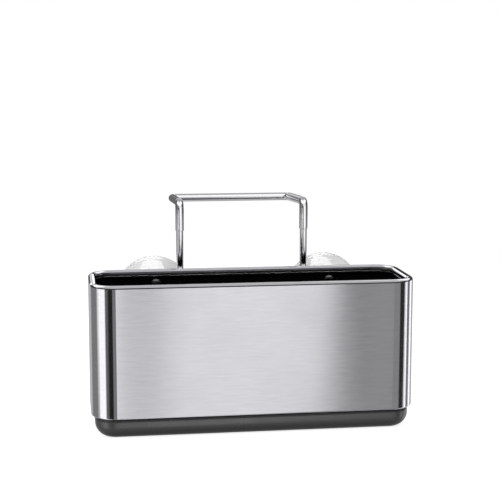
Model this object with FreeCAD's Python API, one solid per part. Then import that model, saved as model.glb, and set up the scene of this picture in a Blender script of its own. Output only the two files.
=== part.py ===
import FreeCAD
import Part
import math
import os

from FreeCAD import Vector

# Slim sponge holder: a brushed steel sleeve round a moulded bin, on a pull-off drip base.
# Two rear brackets carry suction cups in keyhole slots, and rods for a lift-off hanger loop.
# Frame: X to the right and Y to the back, seen from the front, and Z up.
# Origin: the centre of the base's underside. All lengths are millimetres.

# Clearances
slide_clearance = 0.3
running_clearance = 0.1
snug_clearance = 0.05
sleeve_clearance = 0.03
screw_hole_clearance = 0.2
cup_clearance = 0.3
cut_overrun = 1.0
pick_tolerance = 0.001

# Steel shell
body_width = 222.0
body_depth = 70.4
corner_radius = 17.0
rim_height = 105.2
shell_foot_height = 14.7
sheet = 0.8
rim_width = 4.9
rim_roll_radius = 2.4
rim_return = 1.1
foot_lip_radius = 1.0
foot_lip_width = 2.2

# Inner liner
liner_wall = 1.8
liner_floor = 2.2
liner_top_drop = 3.8
liner_lip_proud = 0.1
liner_lip_thickness = 1.6
liner_edge_radius = 0.8
liner_floor_radius = 4.0
drain_slot_width = 3.6
drain_slot_length = 38.0
drain_pitch = 16.0
drain_slot_count = 12
rib_radius = 1.5
rib_length = 46.0

# Drip base
base_edge_radius = 10.0
base_floor = 2.6
hollow_edge_radius = 7.5
spigot_wall = 1.8
spigot_height = 9.0
spigot_headroom = 1.5
grip_radius = 1.5
grip_proud = 0.2
grip_pitch = 52.0
grip_count = 4

# Rods and their places behind the back wall
rod_diameter = 5.0
rod_spacing = 89.9
rod_standoff = 4.5
rod_socket_depth = 34.0
rod_neck_diameter = 3.6
rod_neck_length = 8.0
rod_tip_length = 1.6
rod_tip_relief = 0.1
rod_tip_chamfer = 0.4
sleeve_slit = 0.8

# Hanger loop
loop_wall = 0.4
loop_rise = 46.5
loop_rear_drop = 3.4
loop_depth = 64.5
loop_leg_length = 20.25
loop_socket_depth = 13.0
loop_bend_radius = 4.5
loop_end_radius = 0.3

# Suction cups
rod_to_cup = 17.8
cup_axis_drop = 21.9
cup_radius = 27.8
cup_standoff = 22.0
cup_bowl_depth = 7.0
cup_lip_width = 1.1
cup_lip_height = 0.9
cup_crown = 1.2
cup_boss_radius = 9.0
cup_boss_length = 2.2
cup_neck_radius = 3.6
cup_head_radius = 5.6
cup_head_thickness = 3.2
cup_head_radius_round = 1.0

# Brackets
bracket_depth = 9.0
bracket_plate = 3.0
bracket_corner_radius = 5.0
bracket_edge_radius = 1.6
bracket_rod_margin = 6.5
bracket_cup_margin = 10.5
keyhole_drop = 11.5
keyhole_room = 0.6
screw_edge = 5.7

# Screws and pins
screw_diameter = 3.5
screw_head_diameter = 7.0
screw_head_rim = 0.9
screw_head_dome = 1.6
screw_point = 1.0
screw_bite = 6.4
pin_diameter = 2.0
pin_length = 11.0
pin_rise = 8.0
pin_chamfer = 0.3

# Heights and places that follow from the sizes above
back = body_depth / 2
liner_outer_inset = sheet + slide_clearance
liner_inner_inset = liner_outer_inset + liner_wall
liner_foot = shell_foot_height + sheet
liner_top = rim_height - liner_top_drop
liner_lip_inset = rim_width + liner_lip_proud
liner_lip_bottom = liner_top - liner_lip_thickness
base_inset = foot_lip_width + slide_clearance
spigot_inset = liner_inner_inset + slide_clearance
spigot_top = liner_foot + spigot_height
floor_bottom = spigot_top + spigot_headroom
floor_top = floor_bottom + liner_floor
rod_y = back + rod_standoff
loop_bore = rod_diameter + 2 * running_clearance
loop_diameter = loop_bore + 2 * loop_wall
loop_height = rim_height + loop_rise
loop_end = loop_height - loop_leg_length
rod_top = loop_end + loop_socket_depth
neck_top = rod_top - rod_tip_length
neck_bottom = neck_top - rod_neck_length
cup_z = rim_height - cup_axis_drop
mouth_z = cup_z - keyhole_drop
pocket_radius = cup_head_radius + keyhole_room
upper_screw_z = cup_z + pocket_radius + screw_edge
lower_screw_z = mouth_z - pocket_radius - screw_edge
bracket_top = upper_screw_z + screw_edge
bracket_bottom = lower_screw_z - screw_edge
rod_bottom = bracket_top - rod_socket_depth
pin_z = rod_bottom + pin_rise
screw_seat = back - liner_inner_inset
sides = {"left": -1, "right": 1}


def rod_x(side):
    return side * rod_spacing / 2


def cup_x(side):
    return side * (rod_spacing / 2 + rod_to_cup)


def line(start, end):
    return Part.LineSegment(start, end).toShape()


def arc(start, middle, end):
    return Part.Arc(start, middle, end).toShape()


def quarter_arc(start, centre, end):
    """Arc from start to end round a centre that both lie square to."""
    towards = (start - centre) + (end - centre)
    middle = centre + towards * ((start - centre).Length / towards.Length)
    return arc(start, middle, end)


def rounded_rectangle(width, depth, radius, height):
    """Level outline round the origin, starting at the middle of its back edge."""
    straight_x = width / 2 - radius
    straight_y = depth / 2 - radius
    start = Vector(0, depth / 2, height)
    here = start
    edges = []
    for quarter in range(4):
        turn = math.pi / 2 * (quarter + 1)
        middle = turn + math.pi / 4
        centre_x = math.copysign(straight_x, math.cos(middle))
        centre_y = math.copysign(straight_y, math.sin(middle))
        centre = Vector(centre_x, centre_y, height)
        begin = centre + Vector(math.cos(turn), math.sin(turn), 0) * radius
        end = centre + Vector(-math.sin(turn), math.cos(turn), 0) * radius
        edges.append(line(here, begin))
        edges.append(quarter_arc(begin, centre, end))
        here = end
    edges.append(line(here, start))
    return Part.Wire(edges)


def plan_prism(inset, bottom, top):
    """Solid with the shell's plan, drawn in by inset, between two heights."""
    width = body_width - 2 * inset
    depth = body_depth - 2 * inset
    outline = rounded_rectangle(width, depth, corner_radius - inset, bottom)
    return Part.Face(outline).extrude(Vector(0, 0, top - bottom))


def level_edges(solid, height):
    """Edges of a solid that lie in one level plane."""
    found = []
    for edge in solid.Edges:
        box = edge.BoundBox
        if abs(box.ZMin - height) < pick_tolerance and abs(box.ZMax - height) < pick_tolerance:
            found.append(edge)
    return found


def round_bottom(solid, radius):
    return solid.makeFillet(radius, level_edges(solid, solid.BoundBox.ZMin))


def cylinder(radius, start, end):
    return Part.makeCylinder(radius, (end - start).Length, start, end - start)


def round_slot(start, end, radius, deep):
    """Round-ended slot between two points, cut along the vector deep."""
    along = (end - start).normalize() * radius
    across = deep.cross(along).normalize() * radius
    outline = [
        line(start + across, end + across),
        arc(end + across, end + along, end - across),
        line(end - across, start - across),
        arc(start - across, start - along, start + across),
    ]
    return Part.Face(Part.Wire(outline)).extrude(deep)


def revolved(edges, centre, axis):
    return Part.Face(Part.Wire(edges)).revolve(centre, axis, 360)


def polyline(points):
    return [line(start, end) for start, end in zip(points, points[1:])]


def steel_shell():
    """Sleeve of one sheet, with a broad rolled rim and a lip turned in at its foot."""

    def at(inward, height):
        return Vector(0, back - inward, height)

    roll_z = rim_height - rim_roll_radius
    roll_in = rim_width - rim_roll_radius
    return_z = roll_z - rim_return
    rim_inside = rim_width - sheet
    top_inside = rim_height - sheet
    outer_roll = at(rim_roll_radius, roll_z)
    inner_roll = at(roll_in, roll_z)
    lip_z = shell_foot_height + foot_lip_radius
    lip_roll = at(foot_lip_radius, lip_z)
    lip_edge = at(foot_lip_width, shell_foot_height)
    profile = [
        line(lip_edge, at(foot_lip_radius, shell_foot_height)),
        quarter_arc(at(foot_lip_radius, shell_foot_height), lip_roll, at(0, lip_z)),
        line(at(0, lip_z), at(0, roll_z)),
        quarter_arc(at(0, roll_z), outer_roll, at(rim_roll_radius, rim_height)),
        line(at(rim_roll_radius, rim_height), at(roll_in, rim_height)),
        quarter_arc(at(roll_in, rim_height), inner_roll, at(rim_width, roll_z)),
        line(at(rim_width, roll_z), at(rim_width, return_z)),
        line(at(rim_width, return_z), at(rim_inside, return_z)),
        line(at(rim_inside, return_z), at(rim_inside, roll_z)),
        quarter_arc(at(rim_inside, roll_z), inner_roll, at(roll_in, top_inside)),
        line(at(roll_in, top_inside), at(rim_roll_radius, top_inside)),
        quarter_arc(at(rim_roll_radius, top_inside), outer_roll, at(sheet, roll_z)),
        line(at(sheet, roll_z), at(sheet, lip_z)),
        quarter_arc(at(sheet, lip_z), lip_roll, at(foot_lip_radius, liner_foot)),
        line(at(foot_lip_radius, liner_foot), at(foot_lip_width, liner_foot)),
        line(at(foot_lip_width, liner_foot), lip_edge),
    ]
    path = rounded_rectangle(body_width, body_depth, corner_radius, 0)
    sweep = Part.BRepOffsetAPI.MakePipeShell(path)
    sweep.setBiNormalMode(Vector(0, 0, 1))
    sweep.add(Part.Wire(profile), False, False)
    sweep.build()
    sweep.makeSolid()
    return sweep.shape().cut(screw_holes())


def screw_places():
    """Points on the liner's back wall where the bracket screws sit."""
    return [
        Vector(cup_x(side), screw_seat, height)
        for side in sides.values()
        for height in (upper_screw_z, lower_screw_z)
    ]


def screw_holes():
    """Clearance holes through the back walls of the liner and the shell."""
    radius = screw_diameter / 2 + screw_hole_clearance
    holes = []
    for place in screw_places():
        start = place - Vector(0, cut_overrun, 0)
        end = Vector(place.x, back + cut_overrun, place.z)
        holes.append(cylinder(radius, start, end))
    return Part.makeCompound(holes)


def drain_slots():
    """Row of slots across the liner's floor."""
    half_run = (drain_slot_length - drain_slot_width) / 2
    low = floor_bottom - cut_overrun
    deep = Vector(0, 0, liner_floor + 2 * cut_overrun)
    slots = []
    for number in range(drain_slot_count):
        x = (number - (drain_slot_count - 1) / 2) * drain_pitch
        start = Vector(x, -half_run, low)
        end = Vector(x, half_run, low)
        slots.append(round_slot(start, end, drain_slot_width / 2, deep))
    return Part.makeCompound(slots)


def floor_ribs():
    """Half-round ribs between the drain slots, which keep the load off the floor."""
    ribs = []
    for number in range(drain_slot_count - 1):
        x = (number - (drain_slot_count - 2) / 2) * drain_pitch
        start = Vector(x, -rib_length / 2, floor_top)
        end = Vector(x, rib_length / 2, floor_top)
        ribs.append(cylinder(rib_radius, start, end))
    return ribs


def inner_liner():
    """Open bin with a lip under the rim and a skirt below its floor for the base's spigot."""
    body = plan_prism(liner_outer_inset, liner_foot, liner_top)
    well = plan_prism(liner_inner_inset, floor_top, liner_lip_bottom)
    mouth = plan_prism(liner_lip_inset, liner_lip_bottom - cut_overrun, liner_top + cut_overrun)
    skirt = plan_prism(liner_inner_inset, liner_foot - cut_overrun, floor_bottom)
    body = body.cut([round_bottom(well, liner_floor_radius), mouth, skirt])
    top = next(face for face in body.Faces if face.BoundBox.ZMin > liner_top - pick_tolerance)
    inner_edge = min(top.Wires, key=lambda wire: wire.Length)
    body = body.makeFillet(liner_edge_radius, inner_edge.Edges)
    body = body.fuse(floor_ribs())
    return body.cut([drain_slots(), screw_holes()])


def grip_nubs():
    """Upright nubs on the spigot's long sides, which rub on the skirt."""
    face_y = back - spigot_inset
    nubs = []
    for face in (-1, 1):
        for number in range(grip_count):
            x = (number - (grip_count - 1) / 2) * grip_pitch
            y = face * (face_y + grip_proud - grip_radius)
            nubs.append(cylinder(grip_radius, Vector(x, y, liner_foot), Vector(x, y, spigot_top)))
    return nubs


def drip_base():
    """Tray with a rounded underside edge and a spigot that plugs into the liner."""
    hollow_inset = spigot_inset + spigot_wall
    edge_radius = min(base_edge_radius, (corner_radius - base_inset) * (1 - pick_tolerance))
    foot = round_bottom(plan_prism(base_inset, 0, liner_foot), edge_radius)
    spigot = plan_prism(spigot_inset, liner_foot, spigot_top)
    hollow = plan_prism(hollow_inset, base_floor, spigot_top + cut_overrun)
    hollow_radius = min(hollow_edge_radius, (corner_radius - hollow_inset) * (1 - pick_tolerance))
    tray = foot.fuse([spigot] + grip_nubs())
    return tray.cut(round_bottom(hollow, hollow_radius))


def bracket(side):
    """Moulded block with a rod socket and a keyhole slot that opens into a head pocket."""
    inner_x = rod_spacing / 2 - bracket_rod_margin
    outer_x = rod_spacing / 2 + rod_to_cup + bracket_cup_margin
    height = bracket_top - bracket_bottom
    outline = rounded_rectangle(outer_x - inner_x, height, bracket_corner_radius, 0)
    block = Part.Face(outline).extrude(Vector(0, 0, bracket_depth))
    block = round_bottom(block, bracket_edge_radius)
    block.rotate(Vector(0, 0, 0), Vector(1, 0, 0), 90)
    middle = Vector(side * (inner_x + outer_x) / 2, back + bracket_depth, (bracket_top + bracket_bottom) / 2)
    block.translate(middle)

    seat = Vector(cup_x(side), back, cup_z)
    mouth = Vector(cup_x(side), back, mouth_z)
    before = Vector(0, -cut_overrun, 0)
    pocket_deep = Vector(0, bracket_depth - bracket_plate + cut_overrun, 0)
    through = Vector(0, bracket_depth + 2 * cut_overrun, 0)
    slot_radius = cup_neck_radius + cup_clearance
    rod_start = Vector(rod_x(side), rod_y, rod_bottom)
    rod_end = Vector(rod_x(side), rod_y, bracket_top + cut_overrun)
    cuts = [
        round_slot(mouth + before, seat + before, pocket_radius, pocket_deep),
        round_slot(mouth + before, seat + before, slot_radius, through),
        cylinder(pocket_radius, mouth + before, mouth + before + through),
        cylinder(rod_diameter / 2 + snug_clearance, rod_start, rod_end),
        pin_solid(side, snug_clearance),
    ]
    for place in screw_places():
        start = Vector(place.x, back - cut_overrun, place.z)
        end = Vector(place.x, back + screw_bite + snug_clearance, place.z)
        cuts.append(cylinder(screw_diameter / 2 + snug_clearance, start, end))
    return block.cut(cuts)


def suction_cup(side):
    """Soft cup with a mushroom head that sits in the bracket's keyhole."""

    def at(radius, behind):
        return Vector(cup_x(side) + radius, back + behind, cup_z)

    head_back = bracket_depth - bracket_plate - cup_clearance
    head_front = head_back - cup_head_thickness
    boss_front = bracket_depth + cup_clearance
    boss_back = at(cup_boss_radius, boss_front + cup_boss_length)
    rim_front = at(cup_radius, cup_standoff - cup_lip_height)
    chord = rim_front - boss_back
    crown = Vector(chord.y, -chord.x, 0).normalize() * cup_crown
    bowl_edge = cup_radius - cup_lip_width
    ball = (bowl_edge**2 + cup_bowl_depth**2) / (2 * cup_bowl_depth)
    half_angle = math.asin(bowl_edge / ball) / 2
    ball_centre = cup_standoff - cup_bowl_depth + ball
    bowl_middle = at(ball * math.sin(half_angle), ball_centre - ball * math.cos(half_angle))
    round_start = cup_head_radius - cup_head_radius_round
    edges = [
        line(at(0, head_front), at(round_start, head_front)),
        quarter_arc(
            at(round_start, head_front),
            at(round_start, head_front + cup_head_radius_round),
            at(cup_head_radius, head_front + cup_head_radius_round),
        ),
    ]
    edges += polyline(
        [
            at(cup_head_radius, head_front + cup_head_radius_round),
            at(cup_head_radius, head_back),
            at(cup_neck_radius, head_back),
            at(cup_neck_radius, boss_front),
            at(cup_boss_radius, boss_front),
            boss_back,
        ]
    )
    edges.append(arc(boss_back, (boss_back + rim_front) / 2 + crown, rim_front))
    edges += polyline([rim_front, at(cup_radius, cup_standoff), at(bowl_edge, cup_standoff)])
    bowl_centre = at(0, cup_standoff - cup_bowl_depth)
    edges.append(arc(at(bowl_edge, cup_standoff), bowl_middle, bowl_centre))
    edges.append(line(bowl_centre, at(0, head_front)))
    return revolved(edges, Vector(cup_x(side), 0, cup_z), Vector(0, 1, 0))


def rod(side):
    """Rod from the bracket's socket up into the loop, with a neck for its sleeve."""
    tip_radius = rod_diameter / 2 - rod_tip_relief
    outline = [
        (0, rod_bottom),
        (rod_diameter / 2, rod_bottom),
        (rod_diameter / 2, neck_bottom),
        (rod_neck_diameter / 2, neck_bottom),
        (rod_neck_diameter / 2, neck_top),
        (tip_radius, neck_top),
        (tip_radius, rod_top - rod_tip_chamfer),
        (tip_radius - rod_tip_chamfer, rod_top),
        (0, rod_top),
        (0, rod_bottom),
    ]
    points = [Vector(rod_x(side) + radius, rod_y, height) for radius, height in outline]
    solid = revolved(polyline(points), Vector(rod_x(side), rod_y, 0), Vector(0, 0, 1))
    return solid.cut(pin_solid(side, snug_clearance))


def friction_sleeve(side):
    """Split sleeve on the rod's neck, which rubs in the loop's socket."""
    outer_radius = loop_bore / 2 - sleeve_clearance
    inner_radius = rod_neck_diameter / 2 + snug_clearance
    low = Vector(rod_x(side), rod_y, neck_bottom + snug_clearance)
    high = Vector(rod_x(side), rod_y, neck_top - snug_clearance)
    over = Vector(0, 0, cut_overrun)
    slit_corner = low - over - Vector(sleeve_slit / 2, 0, 0)
    slit_height = (high - low).Length + 2 * cut_overrun
    slit = Part.makeBox(sleeve_slit, loop_bore, slit_height, slit_corner)
    return cylinder(outer_radius, low, high).cut([cylinder(inner_radius, low - over, high + over), slit])


def pin_solid(side, oversize):
    """Cross pin through the bracket and the rod, from the bracket's inner edge."""
    start_x = rod_spacing / 2 - bracket_rod_margin
    start = Vector(side * (start_x - oversize), rod_y, pin_z)
    end = Vector(side * (start_x + pin_length + oversize), rod_y, pin_z)
    return cylinder(pin_diameter / 2 + oversize, start, end)


def rod_pins():
    pins = []
    for side in sides.values():
        pin = pin_solid(side, 0)
        ends = [edge for edge in pin.Edges if edge.Closed]
        pins.append(pin.makeChamfer(pin_chamfer, ends))
    return Part.makeCompound(pins)


def bracket_screws():
    """Domed screws from inside the liner into the brackets."""
    head_radius = screw_head_diameter / 2
    shank_radius = screw_diameter / 2
    ball = (head_radius**2 + screw_head_dome**2) / (2 * screw_head_dome)
    half_angle = math.asin(head_radius / ball) / 2
    dome_middle_rise = screw_head_dome - ball * (1 - math.cos(half_angle))
    screws = []
    for place in screw_places():

        def at(radius, forward):
            return place + Vector(radius, -forward, 0)

        crown = at(0, screw_head_rim + screw_head_dome)
        dome_middle = at(ball * math.sin(half_angle), screw_head_rim + dome_middle_rise)
        shank_end = screw_seat - back - screw_bite
        edges = [arc(crown, dome_middle, at(head_radius, screw_head_rim))]
        edges += polyline(
            [
                at(head_radius, screw_head_rim),
                at(head_radius, 0),
                at(shank_radius, 0),
                at(shank_radius, shank_end + screw_point),
                at(0, shank_end),
                crown,
            ]
        )
        screws.append(revolved(edges, place, Vector(0, 1, 0)))
    return Part.makeCompound(screws)


def bent_path(points, radius):
    """Path through points, with its corners bent to one radius."""
    edges = []
    here = points[0]
    for before, corner, after in zip(points, points[1:], points[2:]):
        inward = (before - corner).normalize()
        onward = (after - corner).normalize()
        half_angle = inward.getAngle(onward) / 2
        reach = radius / math.tan(half_angle)
        bisector = (inward + onward).normalize()
        middle = corner + bisector * (radius / math.sin(half_angle) - radius)
        edges.append(line(here, corner + inward * reach))
        edges.append(arc(corner + inward * reach, middle, corner + onward * reach))
        here = corner + onward * reach
    edges.append(line(here, points[-1]))
    return Part.Wire(edges)


def hanger_loop():
    """Bent bar with bored ends that sit on the rods, lower at its rear."""
    half = rod_spacing / 2
    bar_y = rod_y + loop_depth
    bar_z = loop_height - loop_rear_drop
    points = [
        Vector(-half, rod_y, loop_end),
        Vector(-half, rod_y, loop_height),
        Vector(-half, bar_y, bar_z),
        Vector(half, bar_y, bar_z),
        Vector(half, rod_y, loop_height),
        Vector(half, rod_y, loop_end),
    ]
    section = Part.Wire(Part.Circle(points[0], Vector(0, 0, 1), loop_diameter / 2).toShape())
    bar = bent_path(points, loop_bend_radius).makePipeShell([section], True, False)
    bar = round_bottom(bar, loop_end_radius)
    bores = []
    for side in sides.values():
        start = Vector(rod_x(side), rod_y, loop_end - cut_overrun)
        end = Vector(rod_x(side), rod_y, rod_top)
        bores.append(cylinder(loop_bore / 2, start, end))
    return bar.cut(bores)


pieces = {
    "steel_shell": steel_shell(),
    "inner_liner": inner_liner(),
    "drip_base": drip_base(),
    "hanger_loop": hanger_loop(),
    "bracket_screws": bracket_screws(),
    "rod_pins": rod_pins(),
}
for name, side in sides.items():
    pieces[name + "_bracket"] = bracket(side)
    pieces[name + "_suction_cup"] = suction_cup(side)
    pieces[name + "_rod"] = rod(side)
    pieces[name + "_friction_sleeve"] = friction_sleeve(side)

os.makedirs("parts", exist_ok=True)
for name, shape in pieces.items():
    shape.exportStep("parts/" + name + ".step")
    print(name, "solids", len(shape.Solids), "volume", round(shape.Volume), "valid", shape.isValid())
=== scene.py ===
# %% [markdown]
# # A brushed steel sponge holder
# The holder is a steel sleeve round a black bin, on a charcoal foot, with a bent hanger loop
# and two soft cups behind it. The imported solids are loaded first, as a frame that never moves.
# Most hard pieces keep those solids and get finishes of their own. The foot, the soft cups and
# the small screws are made again here, because they have detail that the solids leave out.

# %% Load the frame
import math

import bmesh
import bpy
import numpy as np
from mathutils import Matrix, Vector


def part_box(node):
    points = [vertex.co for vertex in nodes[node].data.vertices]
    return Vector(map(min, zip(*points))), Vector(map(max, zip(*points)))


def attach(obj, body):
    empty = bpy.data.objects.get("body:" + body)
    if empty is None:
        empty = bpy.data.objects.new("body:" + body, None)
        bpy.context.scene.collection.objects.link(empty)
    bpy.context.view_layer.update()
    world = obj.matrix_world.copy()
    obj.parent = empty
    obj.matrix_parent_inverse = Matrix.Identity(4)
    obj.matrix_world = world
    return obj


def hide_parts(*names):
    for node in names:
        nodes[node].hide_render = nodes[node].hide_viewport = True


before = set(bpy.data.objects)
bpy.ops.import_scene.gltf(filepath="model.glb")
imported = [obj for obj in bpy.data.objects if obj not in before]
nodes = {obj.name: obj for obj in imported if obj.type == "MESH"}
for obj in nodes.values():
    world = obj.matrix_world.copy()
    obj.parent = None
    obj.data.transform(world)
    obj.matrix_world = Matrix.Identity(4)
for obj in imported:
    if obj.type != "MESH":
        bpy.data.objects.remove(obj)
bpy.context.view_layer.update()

MM = 0.001
scene = bpy.context.scene

# %% [markdown]
# ## The camera
# The photograph was taken from a little left of the middle and a little above the rim. A long
# lens keeps the upright edges nearly parallel. The place and the turn were worked out from the
# straight edges of the sleeve, so they are written as one point and three angles.

# %% Camera
CAMERA_PLACE = Vector((-0.12418, -0.86658, 0.2518))
CAMERA_YAW = math.radians(-8.167)
CAMERA_DROP = math.radians(8.407)
CAMERA_ROLL = math.radians(0.06)
LENS = 92.2
SENSOR = 36.0

camera_data = bpy.data.cameras.new("camera")
camera_data.lens = LENS
camera_data.sensor_width = SENSOR
camera_data.dof.use_dof = False
camera = bpy.data.objects.new("camera", camera_data)
scene.collection.objects.link(camera)
yaw = Matrix.Rotation(CAMERA_YAW, 4, "Z")
tilt = Matrix.Rotation(math.pi / 2 - CAMERA_DROP, 4, "X")
roll = Matrix.Rotation(CAMERA_ROLL, 4, "Z")
camera.matrix_world = Matrix.Translation(CAMERA_PLACE) @ (yaw @ tilt) @ roll
scene.camera = camera
scene.view_settings.view_transform = "Standard"
print("camera", [round(v, 4) for v in camera.location], "lens", LENS)

# %% [markdown]
# ## Helpers for node trees
# A node tree can be clicked together or written down. Written down, it is a list of nodes and
# links, and three short helpers keep that list readable: the first adds a node and sets or
# links its inputs, and the other two add the arithmetic that comes back all the time.

# %% Node helpers


def put(tree, kind, inputs=None, **settings):
    """Add a node, set its properties, then set or link its inputs by name or number."""
    node = tree.nodes.new(kind)
    for name, value in settings.items():
        setattr(node, name, value)
    for name, value in (inputs or {}).items():
        if isinstance(value, bpy.types.NodeSocket):
            tree.links.new(value, node.inputs[name])
        else:
            node.inputs[name].default_value = value
    return node


def math_node(tree, operation, first, second):
    """Sum, product or other result of two values."""
    return put(tree, "ShaderNodeMath", {0: first, 1: second}, operation=operation).outputs[0]


def remap(tree, value, low, high, to_low, to_high, smooth=False):
    """Map a value from one range to another and hold it at the ends."""
    node = put(
        tree,
        "ShaderNodeMapRange",
        {"Value": value, "From Min": low, "From Max": high, "To Min": to_low, "To Max": to_high},
        interpolation_type="SMOOTHSTEP" if smooth else "LINEAR",
    )
    return node.outputs["Result"]


print("node helpers ready")

# %% [markdown]
# ## Helpers for materials and shader groups
# A material starts with an empty tree and one output. A shader group is a tree that several
# materials share: its named inputs let each material set its own sizes, as on a ready-made
# node.

# %% Material helpers


def new_material(name):
    """Material with an empty tree and its output node."""
    material = bpy.data.materials.new(name)
    material.use_nodes = True
    material.node_tree.nodes.clear()
    output = put(material.node_tree, "ShaderNodeOutputMaterial")
    return material, material.node_tree, output


def new_group(name, inputs, outputs):
    """Shader group with named inputs and named number outputs."""
    group = bpy.data.node_groups.new(name, "ShaderNodeTree")
    for label, kind, value in inputs:
        socket = group.interface.new_socket(label, in_out="INPUT", socket_type=kind)
        socket.default_value = value
    for label in outputs:
        group.interface.new_socket(label, in_out="OUTPUT", socket_type="NodeSocketFloat")
    return group, group.nodes.new("NodeGroupInput"), group.nodes.new("NodeGroupOutput")


def use_group(tree, group, **inputs):
    """Node for a shader group. An input such as line_length sets the one called Line Length."""
    node = put(tree, "ShaderNodeGroup", node_tree=group)
    for name, value in inputs.items():
        node.inputs[name.replace("_", " ").title()].default_value = value
    return node


def toned(tree, colour, tone):
    """A colour multiplied by a tone near one."""
    node = put(tree, "ShaderNodeVectorMath", {0: colour, "Scale": tone}, operation="SCALE")
    return node.outputs[0]


def bumped(tree, height, strength, distance):
    """Normal that is bent by a height."""
    inputs = {"Height": height, "Strength": strength, "Distance": distance}
    return put(tree, "ShaderNodeBump", inputs).outputs["Normal"]


def finish_material(tree, output, inputs):
    """End a material with one principled shader."""
    shader = put(tree, "ShaderNodeBsdfPrincipled", inputs)
    tree.links.new(shader.outputs["BSDF"], output.inputs["Surface"])


print("material helpers ready")

# %% [markdown]
# ## The foot's shoulder
# The foot is one hollow moulding with a large radius below. At its top the wall turns in under
# the sleeve, and the gap that this leaves shows as a dark line. The solid is square there. The
# shoulder follows an arc, so a short formula says how far the wall is drawn in at each height.
# Behind the sleeve's edge the wall comes out again, to the ledge that the solid ends in.

# %% Shoulder formula
SHOULDER_START = 11.4
SHOULDER_TOP = 14.3
SHOULDER_RADIUS = 3.3
LEDGE_HEIGHT = 15.5
LEDGE_INSET = 0.6


def shoulder_inset(height):
    """How far the wall is drawn in at a height, both in millimetres."""
    rise = min(height, SHOULDER_TOP) - SHOULDER_START
    deep = SHOULDER_RADIUS - math.sqrt(SHOULDER_RADIUS**2 - rise**2)
    out_again = max(height - SHOULDER_TOP, 0) / (LEDGE_HEIGHT - SHOULDER_TOP)
    return deep + (LEDGE_INSET - deep) * out_again


print("shoulder", round(shoulder_inset(SHOULDER_TOP), 2), "mm deep at its top")

# %% [markdown]
# ## The foot's mesh
# A bevel needs an edge at the right height, and this wall has none. So a copy of the solid's
# mesh is merged and cut by level planes, which gives the wall rows of points to move. A point
# belongs to the outer wall if it lies a corner radius away from the line through the middles
# of the corners. Those points are drawn in, and the inside of the tray stays as it was.

# %% Foot
SHOULDER_STEPS = 14
LEVEL_SLACK = 0.01
FOOT_CORNER = 14.5 * MM
WALL_REACH = 0.1 * MM
MERGE_REACH = 0.001 * MM
SHARP_ANGLE = math.radians(35)

build = bmesh.new()
build.from_mesh(nodes["drip_base"].data)
bmesh.ops.remove_doubles(build, verts=build.verts, dist=MERGE_REACH)
for step in range(SHOULDER_STEPS + 1):
    level = SHOULDER_START + (SHOULDER_TOP - SHOULDER_START) * step / SHOULDER_STEPS
    whole = build.verts[:] + build.edges[:] + build.faces[:]
    bmesh.ops.bisect_plane(build, geom=whole, plane_co=(0, 0, level * MM), plane_no=(0, 0, 1))
foot_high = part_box("drip_base")[1]
for vert in build.verts:
    height = vert.co.z / MM
    if not SHOULDER_START < height < LEDGE_HEIGHT + LEVEL_SLACK:
        continue
    across = max(abs(vert.co.x) - foot_high.x + FOOT_CORNER, 0)
    along = max(abs(vert.co.y) - foot_high.y + FOOT_CORNER, 0)
    side = Vector((across, along))
    if side.length > FOOT_CORNER - WALL_REACH:
        inward = side.normalized() * shoulder_inset(height) * MM
        vert.co.x -= math.copysign(inward.x, vert.co.x)
        vert.co.y -= math.copysign(inward.y, vert.co.y)
foot_mesh = bpy.data.meshes.new("shouldered_foot")
build.to_mesh(foot_mesh)
build.free()
foot_mesh.shade_smooth()
foot_mesh.set_sharp_from_angle(angle=SHARP_ANGLE)
foot = bpy.data.objects.new("shouldered_foot", foot_mesh)
scene.collection.objects.link(foot)
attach(foot, "base")
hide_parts("drip_base")
print(foot.name, "faces", len(foot_mesh.polygons))

# %% [markdown]
# ## The floor
# The object stands on a white sweep. To the camera the floor is partly lit and partly
# self-lit: lit, it keeps the soft shadow under the foot, and self-lit it reaches white without
# more lamp power on the object. Far from the object it turns wholly self-lit, so that no line
# shows where it ends. It stays out of mirrored rays, which have cards of their own.

# %% Floor
FLOOR_SIZE = 6.0
FLOOR_LIT_RADIUS = 0.35
FLOOR_PLAIN_RADIUS = 0.9
FLOOR_WHITE = 0.45
FLOOR_BOUNCE = 0.12
FLOOR_GLOW = 0.82


def seen_directly(tree):
    """One for rays from the camera, also through clear pieces, and nought for others."""
    path = put(tree, "ShaderNodeLightPath").outputs
    return math_node(tree, "MAXIMUM", path["Is Camera Ray"], path["Is Transmission Ray"])


floor_mesh = bpy.data.meshes.new("floor")
half = FLOOR_SIZE / 2
floor_mesh.from_pydata(
    [(-half, -half, 0), (half, -half, 0), (half, half, 0), (-half, half, 0)], [], [(0, 1, 2, 3)]
)
floor = bpy.data.objects.new("floor", floor_mesh)
scene.collection.objects.link(floor)
floor.visible_glossy = False

floor_paint, tree, output = new_material("floor_white")
place = put(tree, "ShaderNodeTexCoord").outputs["Object"]
distance = put(tree, "ShaderNodeVectorMath", {0: place}, operation="LENGTH").outputs["Value"]
far = remap(tree, distance, FLOOR_LIT_RADIUS, FLOOR_PLAIN_RADIUS, 0.0, 1.0, smooth=True)
seen = seen_directly(tree)
shade = remap(tree, seen, 0.0, 1.0, FLOOR_BOUNCE, FLOOR_WHITE)
grey = put(tree, "ShaderNodeCombineColor", {0: shade, 1: shade, 2: shade})
lit = put(tree, "ShaderNodeBsdfDiffuse", {"Color": grey.outputs[0]})
glow_level = math_node(tree, "MULTIPLY", seen, FLOOR_GLOW)
glow = put(tree, "ShaderNodeEmission", {"Strength": glow_level})
near = put(tree, "ShaderNodeAddShader", {0: lit.outputs[0], 1: glow.outputs[0]})
plain = put(tree, "ShaderNodeEmission", {"Strength": 1.0})
plain_share = math_node(tree, "MULTIPLY", seen, far)
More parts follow.
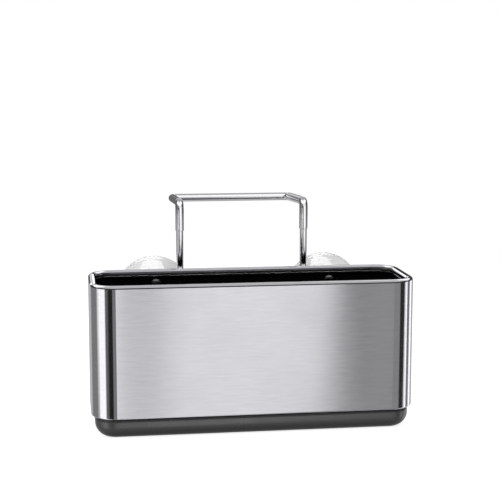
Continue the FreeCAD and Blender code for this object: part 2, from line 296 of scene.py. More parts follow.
mixed = put(
    tree, "ShaderNodeMixShader", {0: plain_share, 1: near.outputs[0], 2: plain.outputs[0]}
)
tree.links.new(mixed.outputs[0], output.inputs["Surface"])
floor_mesh.materials.append(floor_paint)
print("floor", FLOOR_SIZE, "m wide")

# %% [markdown]
# ## The white room
# The room is plain white where the camera looks past the object. For soft light it is a dimmer
# fill, and for mirrored rays it is black, because cards light those in a later step. One
# world with a strength that depends on the kind of ray does all three.

# %% World
WORLD_FILL = 0.42

world = bpy.data.worlds.new("white_room")
scene.world = world
world.use_nodes = True
tree = world.node_tree
tree.nodes.clear()
mirrored = put(tree, "ShaderNodeLightPath").outputs["Is Glossy Ray"]
fill = remap(tree, mirrored, 0.0, 1.0, WORLD_FILL, 0.0)
strength = math_node(tree, "MAXIMUM", seen_directly(tree), fill)
background = put(tree, "ShaderNodeBackground", {"Color": (1, 1, 1, 1), "Strength": strength})
put(tree, "ShaderNodeOutputWorld", {"Surface": background.outputs[0]})
print("world fill", WORLD_FILL)

# %% [markdown]
# ## Lamps
# Three large soft lamps, over the front, over the back and at the left, give the plastics and
# the cups a plain, even light. They stay out of mirrored rays, so that the steel shows the
# cards alone.

# %% Lamps
LAMPS = {
    # place, width, power
    "top_front_lamp": ((0.1, -0.9, 1.3), 1.2, 13.0),
    "top_back_lamp": ((-0.4, 0.9, 1.2), 1.2, 8.0),
    "left_lamp": ((-1.3, -0.7, 0.7), 0.9, 6.0),
}
AIM = Vector((0, 0, 0.06))

for name, (spot, size, power) in LAMPS.items():
    lamp_data = bpy.data.lights.new(name, "AREA")
    lamp_data.shape = "DISK"
    lamp_data.size = size
    lamp_data.energy = power
    lamp = bpy.data.objects.new(name, lamp_data)
    lamp.location = spot
    lamp.rotation_euler = (AIM - Vector(spot)).to_track_quat("-Z", "Y").to_euler()
    lamp.visible_glossy = False
    scene.collection.objects.link(lamp)
print("lamps", len(LAMPS))

# %% [markdown]
# ## Cards and flags
# Steel shows little of itself and much of the room. A photographer stands white boxes and
# black flags round it, so that its flat front is bright and its corners carry crisp dark and
# light bands. Here all of them are painted on a dome: each card is a line in a table, with its
# two ends in degrees to the right of straight ahead, its lower and upper edge in degrees, its
# softness and its level. Later cards lie over earlier ones. The levels are kept as values on
# the points of the mesh, so the dome has more points where a card has an edge.

# %% Dome paint and card levels
HALF_TURN = 180
ZENITH = 90
DOME_STEP = 5
EDGE_PARTS = (-0.5, -0.25, 0, 0.25, 0.5)

dome_paint, tree, output = new_material("dome_paint")
level = put(tree, "ShaderNodeAttribute", attribute_name="level").outputs["Fac"]
glow = put(tree, "ShaderNodeEmission", {"Strength": level})
clear = put(tree, "ShaderNodeBsdfTransparent")
paint = put(tree, "ShaderNodeAddShader", {0: glow.outputs[0], 1: clear.outputs[0]})
tree.links.new(paint.outputs[0], output.inputs["Surface"])


def eased(values):
    """Values held between nought and one, with a gentle start and end."""
    held = np.clip(values, 0, 1)
    return held * held * (3 - 2 * held)


def soft_window(angles, low, high, soft):
    """One between low and high, and nought outside, with soft edges."""
    return eased((angles - low) / soft + 0.5) * eased((high - angles) / soft + 0.5)


def dome_angles(limit, edges):
    """Even angles, with more of them where a card has an edge."""
    angles = set(range(-limit, limit + 1, DOME_STEP))
    for edge, soft in edges:
        angles.update(edge + soft * part for part in EDGE_PARTS)
    return np.array(sorted(angle for angle in angles if abs(angle) <= limit), dtype=float)


def card_levels(plain, cards):
    """Angles round the dome and up it, and the level at each crossing."""
    ends, edges = [], []
    for _, left, right, low, high, soft, _ in cards:
        ends += [(left, soft), (right, soft)]
        edges += [(low, soft), (high, soft)]
    azimuths = dome_angles(HALF_TURN, ends)
    elevations = dome_angles(ZENITH, edges)
    levels = np.full((len(elevations), len(azimuths)), float(plain))
    for _, left, right, low, high, soft, level in cards:
        across = soft_window(azimuths, left, right, soft)
        upright = soft_window(elevations, low, high, soft)
        levels += (level - levels) * np.outer(upright, across)
    return azimuths, elevations, levels


print("dome paint ready")

# %% [markdown]
# ## Domes with pieces of their own
# What suits the wide sleeve leaves a thin rod flat, so the rods, the foot, the bin and the
# cups get domes of their own, as in a picture that is put together from several exposures.
# Light linking keeps a dome to its pieces, and ray visibility keeps it to mirrored rays.

# %% Dome maker
HIDDEN_RAYS = ("camera", "diffuse", "transmission", "volume_scatter", "shadow")


def dome_mesh(name, radius, plain, cards):
    """Mesh of a dome round the origin, with the level of its cards on its points."""
    azimuths, elevations, levels = card_levels(plain, cards)
    turn, rise = np.meshgrid(np.radians(azimuths), np.radians(elevations))
    flat = np.cos(rise)
    points = np.stack([flat * np.sin(turn), -flat * np.cos(turn), np.sin(rise)], axis=-1)
    width = len(azimuths)
    faces = []
    for low in range(0, levels.size - width, width):
        high = low + width
        faces += [(low + c, high + c, high + c + 1, low + c + 1) for c in range(width - 1)]
    mesh = bpy.data.meshes.new(name)
    mesh.from_pydata((radius * points).reshape(-1, 3).tolist(), [], faces)
    mesh.attributes.new("level", "FLOAT", "POINT").data.foreach_set("value", levels.ravel())
    mesh.materials.append(dome_paint)
    return mesh


def card_dome(name, radius, plain, cards, pieces, link_state="INCLUDE"):
    """Dome of cards that mirrors in the named pieces alone, or in all but those."""
    dome = bpy.data.objects.new(name, dome_mesh(name, radius, plain, cards))
    scene.collection.objects.link(dome)
    for ray in HIDDEN_RAYS:
        setattr(dome, "visible_" + ray, False)
    linked = bpy.data.collections.new(name + "_pieces")
    for piece in pieces:
        linked.objects.link(piece)
    for entry in linked.collection_objects:
        entry.light_linking.link_state = link_state
    dome.light_linking.receiver_collection = linked
    print(name, "faces", len(dome.data.polygons))


print("dome maker ready")

# %% [markdown]
# ## Cards for the sleeve
# These cards serve every piece but the foot and the polished bars. The front flag lies just
# above the level: the rim's roll mirrors it as a thin dark line along its lower edge. The
# flat front is seen from above and so mirrors what lies low, and hardly shows that flag.

# %% Sleeve cards
SLEEVE_CARDS = [
    # name, left end, right end, lower edge, upper edge, softness, level
    ("front_line", -1, 12, -8, 1, 4, 1.3),
    ("front_left_line", 0.7, 1.45, -90, 90, 0.4, 1.7),
    ("front_dip", 1.5, 4.0, -90, 90, 0.7, 0.76),
    ("right_grey_card", 12.4, 48, -90, 90, 1.0, 0.39),
    ("right_grey_foot", 12.1, 14, -90, -13, 1.0, 0.39),
    ("right_dip", 12.9, 13.9, -90, 90, 0.8, 0.29),
    ("right_mid_card", 16, 48, -90, 90, 3, 0.31),
    ("right_black_flag", 45.5, 70.5, -90, 90, 5, 0.03),
    ("right_slim_box", 80, 85, -90, 90, 4, 1.9),
    ("right_grey_gap", 87, 105, -90, 90, 5, 0.22),
    ("right_back_box", 108, 122, -90, 90, 4, 1.6),
    ("right_back_card", 124, 160, -90, 90, 6, 0.5),
    ("left_dark_card", -48, -30, -90, 90, 5, 0.16),
    ("left_black_flag", -34, -11, -90, 90, 7, 0.02),
    ("left_grey_flag", -12, 0.6, -90, 90, 1.2, 0.25),
    ("left_wide_box", -86, -49, -90, 90, 3, 1.45),
    ("left_box_foot", -96, -81, -90, -13, 3, 0.35),
    ("left_back_card", -140, -91, -90, 90, 8, 0.26),
    ("left_far_card", -163, -141, -90, 90, 6, 0.6),
    ("front_ceiling", -120, 120, 30, 100, 8, 0.64),
    ("front_flag", -150, 165, 3, 36, 5, 0.05),
    ("back_wall", 150, 181, 20, 100, 4, 0.72),
    ("back_wall_left", -181, -150, 20, 100, 4, 0.72),
    ("right_ceiling_box", 95, 158, 27, 64, 8, 1.5),
    ("left_ceiling_box", -172, -95, 30, 64, 6, 1.5),
    ("back_box", 170, 181, 2, 11, 3, 1.6),
    ("back_box_left", -174, -160, 8, 20, 3, 1.6),
    ("back_right_flag", 158, 181, 10, 21, 3, 0.06),
    ("back_left_flag", -181, -175, 10, 21, 3, 0.06),
    ("back_left_low_card", -181, -160, -90, -6, 3, 0.5),
    ("back_left_table", -181, -166, -6, 7, 3, 0.1),
    ("back_right_table", 158, 169, -90, 12, 3, 0.06),
    ("back_table", 169, 181, -90, 1, 3, 0.1),
]
print("sleeve cards", len(SLEEVE_CARDS))

# %% [markdown]
# ## Cards for the foot and the bin
# The foot mirrors the table near its own shadow, so over the sleeve's cards it gets a bright
# box in front, a flag above and a darker table. The bin takes the sleeve's dome too. Its own
# adds a single high box, which the bin's upper edge shows as a thin light line.

# %% Foot and bin cards
FOOT_CARDS = SLEEVE_CARDS + [
    ("foot_front_box", -1, 12.5, -34, 10, 3, 1.7),
    ("foot_right_card", 12.5, 48, -34, 10, 3, 0.45),
    ("foot_top_flag", -100, 100, 10, 80, 6, 0.05),
    ("dark_table", -181, 181, -90, -34, 8, 0.36),
    ("foot_shade", -181, 181, -90, -60, 10, 0.24),
]
BIN_CARDS = [
    ("edge_box", -70, 70, 35, 75, 6, 4.0),
]
print("foot cards", len(FOOT_CARDS), "bin cards", len(BIN_CARDS))

# %% [markdown]
# ## Cards for the rods and the loop
# A thin polished bar is a round mirror: it squeezes nearly the whole room into its width. The
# loop's legs lie almost level, so they show narrow lines just below the horizon, and a few
# sharp cards there draw the light line along a leg and the dark on both sides of it.

# %% Rod cards
ROD_CARDS = [
    ("zenith", -181, 181, 78, 120, 12, 0.45),
    ("front_top_box", -110, 110, 40, 74, 8, 1.3),
    ("front_low_card", -110, 110, -45, -20, 8, 0.82),
    ("floor", -181, 181, -120, -48, 10, 0.55),
    ("back_wall", 110, 181, -80, 86, 10, 0.45),
    ("back_wall_left", -181, -110, -80, 86, 10, 0.45),
    ("back_glow", 150, 181, 9, 24, 5, 1.0),
    ("back_glow_left", -181, -172, 9, 24, 5, 1.0),
    ("back_flag", 150, 181, -10, 4, 4, 0.12),
    ("back_flag_left", -181, -100, -10, 6, 4, 0.15),
    ("left_back_flag", -160, -100, 0, 40, 8, 0.2),
    ("left_grey_card", -110, -36, -22, 14, 5, 0.55),
    ("left_black_flag", -36, -14, -22, 14, 5, 0.06),
    ("front_left_card", -15, 8, -22, 14, 5, 0.55),
    ("front_box", 8, 47, -22, 14, 6, 1.3),
    ("right_card", 47, 74, -22, 14, 6, 0.7),
    ("right_flag", 74, 125, -22, 14, 6, 0.14),
    ("left_line", -46, -24, -6.95, -6.15, 0.3, 1.5),
    ("low_flag", -30, 62, -12, -7.83, 0.3, 0.03),
    ("left_upper_flag", -150, -24, -6.15, 34, 0.3, 0.12),
    ("left_upper_card", -78, -56, -5, 34, 4, 0.3),
    ("right_upper_flag", 58, 150, -6.25, 34, 0.3, 0.1),
]
print("rod cards", len(ROD_CARDS))

# %% [markdown]
# ## The domes of the hard pieces
# A dome in a white room starts at level one, so what no card covers mirrors as white. A dome
# that only adds a card to another starts at nought. The radii differ a little, so that no two
# domes lie in the same place.

# %% Domes
WHITE_ROOM = 1.0
CARDS_ALONE = 0.0
SLEEVE_DOME_RADIUS = 12.0
FOOT_DOME_RADIUS = 12.5
ROD_DOME_RADIUS = 13.0
CUP_DOME_RADIUS = 13.5
BIN_DOME_RADIUS = 14.0

polished = [nodes[name] for name in ("left_rod", "right_rod", "hanger_loop", "rod_pins")]
own_domes = polished + [foot]
card_dome("sleeve_dome", SLEEVE_DOME_RADIUS, WHITE_ROOM, SLEEVE_CARDS, own_domes, "EXCLUDE")
card_dome("foot_dome", FOOT_DOME_RADIUS, WHITE_ROOM, FOOT_CARDS, [foot])
card_dome("rod_dome", ROD_DOME_RADIUS, WHITE_ROOM, ROD_CARDS, polished)
card_dome("bin_dome", BIN_DOME_RADIUS, CARDS_ALONE, BIN_CARDS, [nodes["inner_liner"]])

# %% [markdown]
# ## Drawn lines and moulded skin
# Two textures come back in several finishes, so each is one shader group. The first draws the
# fine lines that a brushing belt or a drawing die leaves: noise pulled out long in one
# direction. The second is the spark-eroded skin of a mould, a fine even grain. Both put out a
# tone near one, to multiply a colour with, and a height.

# %% Line and skin groups


def put_out_noise(group, result, noise, contrast):
    """Put out a noise as a height, and as a tone round one."""
    centred = math_node(group, "SUBTRACT", noise, 0.5)
    spread = math_node(group, "MULTIPLY", centred, contrast)
    group.links.new(math_node(group, "ADD", spread, 1.0), result.inputs["Tone"])
    group.links.new(noise, result.inputs["Height"])


lines_group, given, result = new_group(
    "drawn_lines",
    [
        ("Line Length", "NodeSocketVector", (8.0, 8.0, 900.0)),
        ("Contrast", "NodeSocketFloat", 0.1),
    ],
    ["Tone", "Height"],
)
place = put(lines_group, "ShaderNodeTexCoord").outputs["Object"]
stretched = put(
    lines_group,
    "ShaderNodeVectorMath",
    {0: place, 1: given.outputs["Line Length"]},
    operation="MULTIPLY",
)
noise = put(
    lines_group,
    "ShaderNodeTexNoise",
    {"Vector": stretched.outputs[0], "Scale": 1.0, "Detail": 5.0, "Roughness": 0.72},
)
put_out_noise(lines_group, result, noise.outputs["Fac"], given.outputs["Contrast"])

skin_group, given, result = new_group(
    "moulded_skin",
    [("Grain", "NodeSocketFloat", 2600.0), ("Contrast", "NodeSocketFloat", 0.2)],
    ["Tone", "Height"],
)
place = put(skin_group, "ShaderNodeTexCoord").outputs["Object"]
noise = put(
    skin_group,
    "ShaderNodeTexNoise",
    {"Vector": place, "Scale": given.outputs["Grain"], "Detail": 2.0, "Roughness": 0.6},
)
put_out_noise(skin_group, result, noise.outputs["Fac"], given.outputs["Contrast"])
print("shader groups", lines_group.name, skin_group.name)

# %% [markdown]
# ## Clouds from handling
# A surface that hands have touched is faintly cloudy: its shine is duller in soft patches. The
# third group makes those patches from slow noise, as a value to add to a roughness.

# %% Cloud group
CLOUD_START = 0.35
CLOUD_FULL = 0.7

touch_group, given, result = new_group(
    "handling_clouds",
    [("Cloud Size", "NodeSocketFloat", 28.0), ("Amount", "NodeSocketFloat", 0.05)],
    ["Dulling"],
)
place = put(touch_group, "ShaderNodeTexCoord").outputs["Object"]
noise = put(
    touch_group,
    "ShaderNodeTexNoise",
    {"Vector": place, "Scale": given.outputs["Cloud Size"], "Detail": 4.0, "Distortion": 0.4},
)
clouds = remap(touch_group, noise.outputs["Fac"], CLOUD_START, CLOUD_FULL, 0.0, 1.0, smooth=True)
dulling = math_node(touch_group, "MULTIPLY", clouds, given.outputs["Amount"])
touch_group.links.new(dulling, result.inputs["Dulling"])
print("shader group", touch_group.name)

# %% [markdown]
# ## Brushed steel
# The sleeve is brushed round its length, so its lines run level on every wall. Noise that is
# long in X and Y and very short in Z gives that on all four sides without any unwrapping.
# A brushed face blurs what it mirrors across the lines and hardly along them, so the shader
# is anisotropic, turned a quarter so that the blur is upright. The rolled rim is polished
# bright: its roughness falls off above the height where the roll starts.

# %% Brushed steel
STEEL_COLOUR = (0.674, 0.67, 0.7)
RIM_ROLL = 2.4 * MM
RIM_BLEND = 0.25 * MM
RIM_ROUGHNESS = 0.07
BELT_NOISE = (0.3, 0.7)
BELT_ROUGHNESS = (0.12, 0.15)
LINE_DEPTH = 0.05 * MM
QUARTER_TURN = 0.25

roll_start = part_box("steel_shell")[1].z - RIM_ROLL
brushed_steel, tree, output = new_material("brushed_steel")
lines = use_group(tree, lines_group, line_length=(60.0, 60.0, 900.0), contrast=0.3)
clouds = use_group(tree, touch_group, amount=0.03)
place = put(tree, "ShaderNodeTexCoord").outputs["Object"]
height = put(tree, "ShaderNodeSeparateXYZ", {0: place}).outputs["Z"]
polish = remap(tree, height, roll_start - RIM_BLEND, roll_start + RIM_BLEND, 0.0, 1.0, smooth=True)
belt = remap(tree, lines.outputs["Height"], *BELT_NOISE, *BELT_ROUGHNESS)
belt = math_node(tree, "ADD", belt, clouds.outputs["Dulling"])
roughness = put(tree, "ShaderNodeMix", {"Factor": polish, "A": belt, "B": RIM_ROUGHNESS})
finish_material(
    tree,
    output,
    {
        "Base Color": toned(tree, STEEL_COLOUR, lines.outputs["Tone"]),
        "Metallic": 1.0,
        "Roughness": roughness.outputs["Result"],
        "Anisotropic": 1.0,
        "Anisotropic Rotation": QUARTER_TURN,
        "Normal": bumped(tree, lines.outputs["Height"], strength=0.03, distance=LINE_DEPTH),
    },
)
print("rim polish starts at", round(roll_start / MM, 2), "mm")

# %% [markdown]
# ## Polished steel
# The rods, their pins and the loop are drawn bar, polished until the room shows in them. The
# drawing lines are left as a faint change of tone, and the clouds keep the mirror from being
# perfect.

# %% Polished steel
POLISHED_COLOUR = (0.8, 0.8, 0.82)
POLISHED_ROUGHNESS = 0.05

polished_steel, tree, output = new_material("polished_steel")
lines = use_group(tree, lines_group, line_length=(1500.0, 1500.0, 30.0), contrast=0.05)
clouds = use_group(tree, touch_group, cloud_size=120.0, amount=0.04)
finish_material(
    tree,
    output,
    {
        "Base Color": toned(tree, POLISHED_COLOUR, lines.outputs["Tone"]),
        "Metallic": 1.0,
        "Roughness": math_node(tree, "ADD", clouds.outputs["Dulling"], POLISHED_ROUGHNESS),
    },
)
print("steel", brushed_steel.name, polished_steel.name)

# %% [markdown]
# ## Moulded plastics
# The bin and the brackets are black with a smooth, glossy face, the foot is a lighter charcoal
# with a satin face, and the two sleeves on the rods are plain pale nylon. All take the moulded
# skin, each at its own scale, and the clouds, so one function makes all three.

# %% Plastic finishes
SKIN_DEPTH = 0.08 * MM


def moulded_plastic(name, colour, roughness, grain, bump, dulling, gloss=0.5):
    """Plastic with a moulded skin and clouds from handling."""
    material, tree, output = new_material(name)
    skin = use_group(tree, skin_group, grain=grain, contrast=0.3)
    clouds = use_group(tree, touch_group, cloud_size=40.0, amount=dulling)
    finish_material(
        tree,
        output,
        {
            "Base Color": toned(tree, colour, skin.outputs["Tone"]),
            "Roughness": math_node(tree, "ADD", clouds.outputs["Dulling"], roughness),
            "Specular IOR Level": gloss,
            "Normal": bumped(tree, skin.outputs["Height"], bump, SKIN_DEPTH),
        },
    )
    return material


black_plastic = moulded_plastic(
    "black_plastic",
    (0.002, 0.002, 0.0022),
    roughness=0.14,
    grain=2600.0,
    bump=0.08,
    dulling=0.06,
)
charcoal_plastic = moulded_plastic(
    "charcoal_plastic",
    (0.075, 0.075, 0.077),
    roughness=0.27,
    grain=2000.0,
    bump=0.1,
    dulling=0.06,
    gloss=0.85,
)
white_nylon = moulded_plastic(
    "white_nylon",
    (0.6, 0.6, 0.58),
    roughness=0.45,
    grain=1500.0,
    bump=0.1,
    dulling=0.05,
)
print("plastics", black_plastic.name, charcoal_plastic.name, white_nylon.name)

# %% [markdown]
# ## Finishes on the hard pieces
# The solids come with material slots, so a finish is put in place by filling those slots. The
# foot is a mesh made above, without a slot, so its finish is added to the mesh.

# %% Finishes on the hard pieces
HARD_FINISHES = {
    "steel_shell": brushed_steel,
    "inner_liner": black_plastic,
    "left_bracket": black_plastic,
    "right_bracket": black_plastic,
    "left_rod": polished_steel,
    "right_rod": polished_steel,
    "rod_pins": polished_steel,
    "hanger_loop": polished_steel,
    "left_friction_sleeve": white_nylon,
    "right_friction_sleeve": white_nylon,
}
for name, material in HARD_FINISHES.items():
    for slot in nodes[name].material_slots:
        slot.material = material
foot_mesh.materials.append(charcoal_plastic)
print("finished", len(HARD_FINISHES), "solids and the foot")

# %% [markdown]
# ## The outline of a suction cup
# A suction cup is one soft moulding: a mushroom head, a neck, a boss and a wide thin bell with
# a sealing lip. It is round about one axis, so half its section says all. The outline is a list
# of corners, each with its own rounding, and the two long curves, the swelling bell and the
# hollow bowl, are filled in between them. The bell has a shallow groove beside the lip, where
# such a cup bends first.

# %% Cup outline
CORNER_STEPS = 5
CURVE_STEPS = 28
CUP_STEM = [
    # radius, distance in front of the lip, rounding, all in millimetres
    (5.6, 19.5, 1.0),
    (5.6, 16.3, 0.4),
    (3.6, 16.3, 0.2),
    (3.6, 12.7, 0.2),
    (9.0, 12.7, 0.6),
]
BELL_START = Vector((9.0, 10.5))
BELL_ROUNDING = 0.5
BELL_SWELL = 1.2
GROOVE_SHARE = 0.9
GROOVE_WIDTH_SHARE = 0.035
GROOVE_DEPTH = 0.3
LIP_HEIGHT = 0.9
LIP_WIDTH = 1.1
LIP_ROUNDING = 0.25
SEAL_ROUNDING = 0.2
BOWL_DEPTH = 7.0


def rounded_outline(corners):
    """Outline with its corners cut off by small curves. A corner with no rounding stays."""
    points = []
    for number, (radius, depth, rounding) in enumerate(corners):
        here = Vector((radius, depth))
        if not rounding:
            points.append(here)
            continue
        before = (Vector(corners[number - 1][:2]) - here).normalized() * rounding
        after = (Vector(corners[number + 1][:2]) - here).normalized() * rounding
        for step in range(CORNER_STEPS + 1):
            share = step / CORNER_STEPS
            points.append(here + before * (1 - share) ** 2 + after * share**2)
    return points


def cup_outline(cup_radius):
    """Outline from the head's middle, along the front of the bell, to the bowl's middle."""
    edge = Vector((cup_radius, LIP_HEIGHT))
    outward = Vector((BELL_START.y - edge.y, edge.x - BELL_START.x)).normalized()
    bell = []
    for step in range(1, CURVE_STEPS):
        share = step / CURVE_STEPS
        groove = GROOVE_DEPTH * math.exp(-(((share - GROOVE_SHARE) / GROOVE_WIDTH_SHARE) ** 2))
        swell = BELL_SWELL * 4 * share * (1 - share) - groove
        bell.append((*(BELL_START.lerp(edge, share) + outward * swell), 0))
    bowl_edge = cup_radius - LIP_WIDTH
    ball = (bowl_edge**2 + BOWL_DEPTH**2) / (2 * BOWL_DEPTH)
    bowl = []
    for step in range(1, CURVE_STEPS + 1):
        radius = bowl_edge * (1 - step / CURVE_STEPS)
        bowl.append((radius, math.sqrt(ball**2 - radius**2) - ball + BOWL_DEPTH, 0))
    stem = [(0, CUP_STEM[0][1], 0)] + CUP_STEM + [(*BELL_START, BELL_ROUNDING)]
    lip = [
        (cup_radius, LIP_HEIGHT, LIP_ROUNDING),
        (cup_radius, 0, LIP_ROUNDING),
        (bowl_edge, 0, SEAL_ROUNDING),
    ]
    return rounded_outline(stem + bell + lip + bowl)


print("cup outline ready")

# %% [markdown]
# ## A lathe
# The outline could be turned with a screw modifier. Written out, a lathe gives one closed mesh
# at once: a ring of points for each point of the outline, a single point where the outline
# meets the axis, and a face between each pair of neighbours.

# %% Lathe


def lathe(name, outline, axis, turns):
    """Closed mesh from an outline in millimetres that starts and ends on an axis along Y."""
    build = bmesh.new()
    rings = []
    for radius, depth in outline:
        count = turns if radius > 0 else 1
        ring = []
        for turn in range(count):
            angle = 2 * math.pi * turn / turns
            swing = Vector((math.cos(angle) * radius, -depth, math.sin(angle) * radius))
            ring.append(build.verts.new(axis + swing * MM))
        rings.append(ring)
    for inner, outer in zip(rings, rings[1:]):
        for turn in range(turns):
            beside = (turn + 1) % turns
            corners = [(inner, turn), (inner, beside), (outer, beside), (outer, turn)]
            face = [ring[number % len(ring)] for ring, number in corners]
            build.faces.new(list(dict.fromkeys(face)))
    bmesh.ops.remove_doubles(build, verts=build.verts, dist=MERGE_REACH)
    bmesh.ops.recalc_face_normals(build, faces=build.faces)
    mesh = bpy.data.meshes.new(name)
    build.to_mesh(mesh)
    build.free()
    mesh.shade_smooth()
    piece = bpy.data.objects.new(name, mesh)
    scene.collection.objects.link(piece)
    return piece


print("lathe ready")

# %% [markdown]
# ## Clear vinyl
# The cups are milky vinyl: light goes through them, and they look darker where the surface
# turns away and the way through is long. True scattering inside would be slow and noisy, so
# the shader lets part of the light through and paints that shade into the colour instead:
# the colour is darkened towards the edges, where the surface turns away from the view.

# %% Clear vinyl
VINYL_COLOUR = (0.8, 0.805, 0.8)
VINYL_ROUGHNESS = 0.07
VINYL_IOR = 1.5
VINYL_CLEARNESS = 0.45
PAINTED_SHADE_START = 0.7
PAINTED_EDGE_SHADE = 0.45

clear_vinyl, tree, output = new_material("clear_vinyl")
skin = use_group(tree, skin_group, grain=900.0, contrast=0.03)
clouds = use_group(tree, touch_group, cloud_size=60.0, amount=0.06)
turned_away = put(tree, "ShaderNodeLayerWeight", {"Blend": 0.5}).outputs["Facing"]
# painted shade: the colour darkens where the surface turns away from the view
edge = remap(tree, turned_away, PAINTED_SHADE_START, 1.0, 1.0, PAINTED_EDGE_SHADE)
tone = math_node(tree, "MULTIPLY", skin.outputs["Tone"], edge)
finish_material(
    tree,
    output,
    {
        "Base Color": toned(tree, VINYL_COLOUR, tone),
        "Roughness": math_node(tree, "ADD", clouds.outputs["Dulling"], VINYL_ROUGHNESS),
        "IOR": VINYL_IOR,
        "Transmission Weight": VINYL_CLEARNESS,
        "Normal": bumped(tree, skin.outputs["Height"], strength=0.04, distance=SKIN_DEPTH),
    },
)
print("finish", clear_vinyl.name)

# %% [markdown]
# ## The two cups
# Both cups are turned from the same outline, each on the axis of the solid that it replaces
# and as wide as that solid. A glossy soft piece needs a bright window to glint, so the cups
# get one more dome, with a single strong box.

# %% Suction cups
CUP_TURNS = 128
CUP_CARDS = [
    ("window_box", -34, 38, 15, 80, 4, 6.0),
]

cups = []
for side in ("left", "right"):
    node = side + "_suction_cup"
    low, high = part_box(node)
    axis = Vector(((low.x + high.x) / 2, high.y, (low.z + high.z) / 2))
    cup = lathe(side + "_vinyl_cup", cup_outline((high.x - low.x) / 2 / MM), axis, CUP_TURNS)
    cup.data.materials.append(clear_vinyl)
    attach(cup, side + "_cup")
    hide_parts(node)
    cups.append(cup)
    print(cup.name, "faces", len(cup.data.polygons))
card_dome("cup_dome", CUP_DOME_RADIUS, CARDS_ALONE, CUP_CARDS, cups)

# %% [markdown]
# ## Seats and finish of the screws
# Four equal screws hold the brackets, with dark domed heads. Their seats are the four corners
# of the box round the solids, less a head's radius. The dark coating is a metal with a fine
# grain and strong clouds, so that no two heads shine alike.

# %% Screw seats and finish
HEAD_RADIUS = 3.5 * MM
HEAD_RIM = 0.9 * MM
HEAD_DOME = 1.6 * MM
SCREW_COLOUR = (0.25, 0.25, 0.26)
SCREW_ROUGHNESS = 0.18

screw_low, screw_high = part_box("bracket_screws")
seat_y = screw_low.y + HEAD_RIM + HEAD_DOME
seat_points = [
    (x, seat_y, z)
    for x in (screw_low.x + HEAD_RADIUS, screw_high.x - HEAD_RADIUS)
    for z in (screw_low.z + HEAD_RADIUS, screw_high.z - HEAD_RADIUS)
]
seats_mesh = bpy.data.meshes.new("screw_seats")
seats_mesh.from_pydata(seat_points, [], [])
seats = bpy.data.objects.new("screw_seats", seats_mesh)
scene.collection.objects.link(seats)

dark_screw_steel, tree, output = new_material("dark_screw_steel")
clouds = use_group(tree, touch_group, cloud_size=900.0, amount=0.15)
skin = use_group(tree, skin_group, grain=3000.0, contrast=0.3)
finish_material(
    tree,
    output,
    {
        "Base Color": toned(tree, SCREW_COLOUR, skin.outputs["Tone"]),
        "Metallic": 1.0,
        "Roughness": math_node(tree, "ADD", clouds.outputs["Dulling"], SCREW_ROUGHNESS),
    },
)
print("screw seats", len(seat_points))

# %% [markdown]
# ## A node tree for the screws
# A small thing that is used four times is well made in geometry nodes: one screw is built, then
# placed on every seat. The tree takes its sizes as named inputs, so a longer or flatter screw
# is a matter of a number. Here the tree gets those inputs and two helpers.

# %% Screw tree
SHANK_RADIUS = 1.75 * MM
RECESS_WIDTH = 0.9 * MM
RECESS_REACH = 4.0 * MM
RECESS_DEPTH = 1.3 * MM
SCREW_INPUTS = {
    "Head Radius": HEAD_RADIUS,
    "Head Height": HEAD_RIM + HEAD_DOME,
    "Ball Radius": (HEAD_RADIUS**2 + HEAD_DOME**2) / (2 * HEAD_DOME),
    "Shank Radius": SHANK_RADIUS,
    "Shank Length": screw_high.y - seat_y,
    "Recess Width": RECESS_WIDTH,
    "Recess Reach": RECESS_REACH,
    "Recess Depth": RECESS_DEPTH,
}

screw_tree = bpy.data.node_groups.new("dome_screws", "GeometryNodeTree")
screw_tree.interface.new_socket("Seats", in_out="INPUT", socket_type="NodeSocketGeometry")
screw_sockets = {
    label: screw_tree.interface.new_socket(label, in_out="INPUT", socket_type="NodeSocketFloat")
    for label in SCREW_INPUTS
}
screw_tree.interface.new_socket("Screws", in_out="OUTPUT", socket_type="NodeSocketGeometry")
given = screw_tree.nodes.new("NodeGroupInput").outputs
result = screw_tree.nodes.new("NodeGroupOutput")


def raised(geometry, height, turn=0.0):
    """Geometry moved up its own axis, and turned about it."""
    place = put(screw_tree, "ShaderNodeCombineXYZ", {"Z": height}).outputs[0]
    inputs = {"Geometry": geometry, "Translation": place, "Rotation": (0, 0, turn)}
    return put(screw_tree, "GeometryNodeTransform", inputs).outputs[0]


def times(value, factor):
    """A value in the tree, multiplied."""
    return math_node(screw_tree, "MULTIPLY", value, factor)


print("screw inputs", len(SCREW_INPUTS))

# %% [markdown]
# ## The screw's head
# The head is what a ball and a drum have in common, which gives a dome on a short straight
# rim. Two crossed bars are then cut out of it for the driver. The manifold solver leaves a
# closed mesh each time, and a merge takes away the slivers where the cuts meet old edges.

# %% Screw head
ROUND_SIDES = 64
SLIVER_REACH = 0.002 * MM

ball = put(
    screw_tree,
    "GeometryNodeMeshUVSphere",
    {"Segments": ROUND_SIDES, "Rings": ROUND_SIDES, "Radius": given["Ball Radius"]},
)
ball_middle = math_node(screw_tree, "SUBTRACT", given["Head Height"], given["Ball Radius"])
drum = put(
    screw_tree,
    "GeometryNodeMeshCylinder",
    {"Vertices": ROUND_SIDES, "Radius": given["Head Radius"], "Depth": given["Head Height"]},
)
head = put(screw_tree, "GeometryNodeMeshBoolean", operation="INTERSECT", solver="MANIFOLD")
screw_tree.links.new(raised(ball.outputs[0], ball_middle), head.inputs["Mesh 2"])
drum_middle = times(given["Head Height"], 0.5)
screw_tree.links.new(raised(drum.outputs[0], drum_middle), head.inputs["Mesh 2"])
bar_size = put(
    screw_tree,
    "ShaderNodeCombineXYZ",
    {
        "X": given["Recess Reach"],
        "Y": given["Recess Width"],
        "Z": times(given["Recess Depth"], 2.0),
    },
)
bar = put(screw_tree, "GeometryNodeMeshCube", {"Size": bar_size.outputs[0]}).outputs[0]
cross = put(
    screw_tree,
    "GeometryNodeMeshBoolean",
    {"Mesh 1": head.outputs[0]},
    operation="DIFFERENCE",
    solver="MANIFOLD",
)
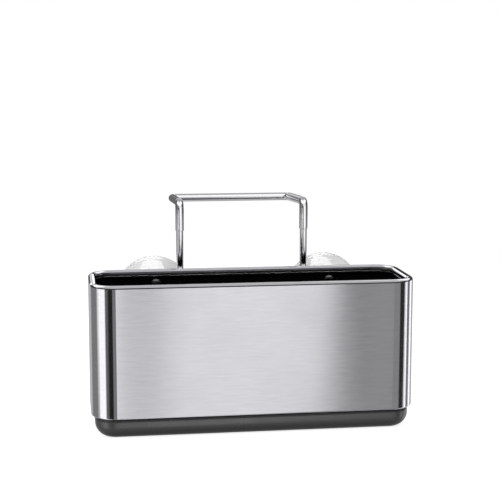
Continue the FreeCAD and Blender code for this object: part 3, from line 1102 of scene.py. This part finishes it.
for turn in (0.0, math.pi / 2):
    screw_tree.links.new(raised(bar, given["Head Height"], turn), cross.inputs["Mesh 2"])
clean_head = put(
    screw_tree,
    "GeometryNodeMergeByDistance",
    {"Geometry": cross.outputs[0], "Distance": SLIVER_REACH},
)
print("screw head nodes", len(screw_tree.nodes))

# %% [markdown]
# ## The whole screw on its seats
# A plain shank joins the head, and the screw is placed on the four seats. Each gets a turn of
# its own, because no two screws stop at the same angle. A random value with a fixed seed gives
# the same turns in every run.

# %% Screw on its seats
SHANK_SIDES = 32
SCREW_SEED = 11

shank = put(
    screw_tree,
    "GeometryNodeMeshCylinder",
    {"Vertices": SHANK_SIDES, "Radius": given["Shank Radius"], "Depth": given["Shank Length"]},
)
sunk_shank = raised(shank.outputs[0], times(given["Shank Length"], -0.5))
screw = put(screw_tree, "GeometryNodeJoinGeometry")
screw_tree.links.new(clean_head.outputs[0], screw.inputs[0])
screw_tree.links.new(sunk_shank, screw.inputs[0])
turns = put(
    screw_tree,
    "FunctionNodeRandomValue",
    {
        "Min": (math.pi / 2, 0.0, 0.0),
        "Max": (math.pi / 2, math.pi / 2, 0.0),
        "Seed": SCREW_SEED,
    },
    data_type="FLOAT_VECTOR",
)
placed = put(
    screw_tree,
    "GeometryNodeInstanceOnPoints",
    {"Points": given["Seats"], "Instance": screw.outputs[0], "Rotation": turns.outputs["Value"]},
)
real = put(screw_tree, "GeometryNodeRealizeInstances", {0: placed.outputs[0]})
painted = put(
    screw_tree,
    "GeometryNodeSetMaterial",
    {"Geometry": real.outputs[0], "Material": dark_screw_steel},
)
screw_tree.links.new(painted.outputs[0], result.inputs["Screws"])
print("screw tree nodes", len(screw_tree.nodes))

# %% [markdown]
# ## The screws as a mesh
# A modifier runs the tree on the seats. The result is kept as a plain mesh, which any other
# program can read, and the seats are taken away. Edges sharper than the set angle stay crisp,
# and the dome is shaded smooth.

# %% Screws
maker = seats.modifiers.new("dome_screws", "NODES")
maker.node_group = screw_tree
for label, value in SCREW_INPUTS.items():
    maker[screw_sockets[label].identifier] = value
ready = seats.evaluated_get(bpy.context.evaluated_depsgraph_get())
screws_mesh = bpy.data.meshes.new_from_object(ready)
bpy.data.objects.remove(seats)
screws_mesh.shade_smooth()
screws_mesh.set_sharp_from_angle(angle=SHARP_ANGLE)
screws = bpy.data.objects.new("dome_screws", screws_mesh)
scene.collection.objects.link(screws)
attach(screws, "holder")
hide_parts("bracket_screws")
print("screws", len(screws_mesh.polygons), "faces")
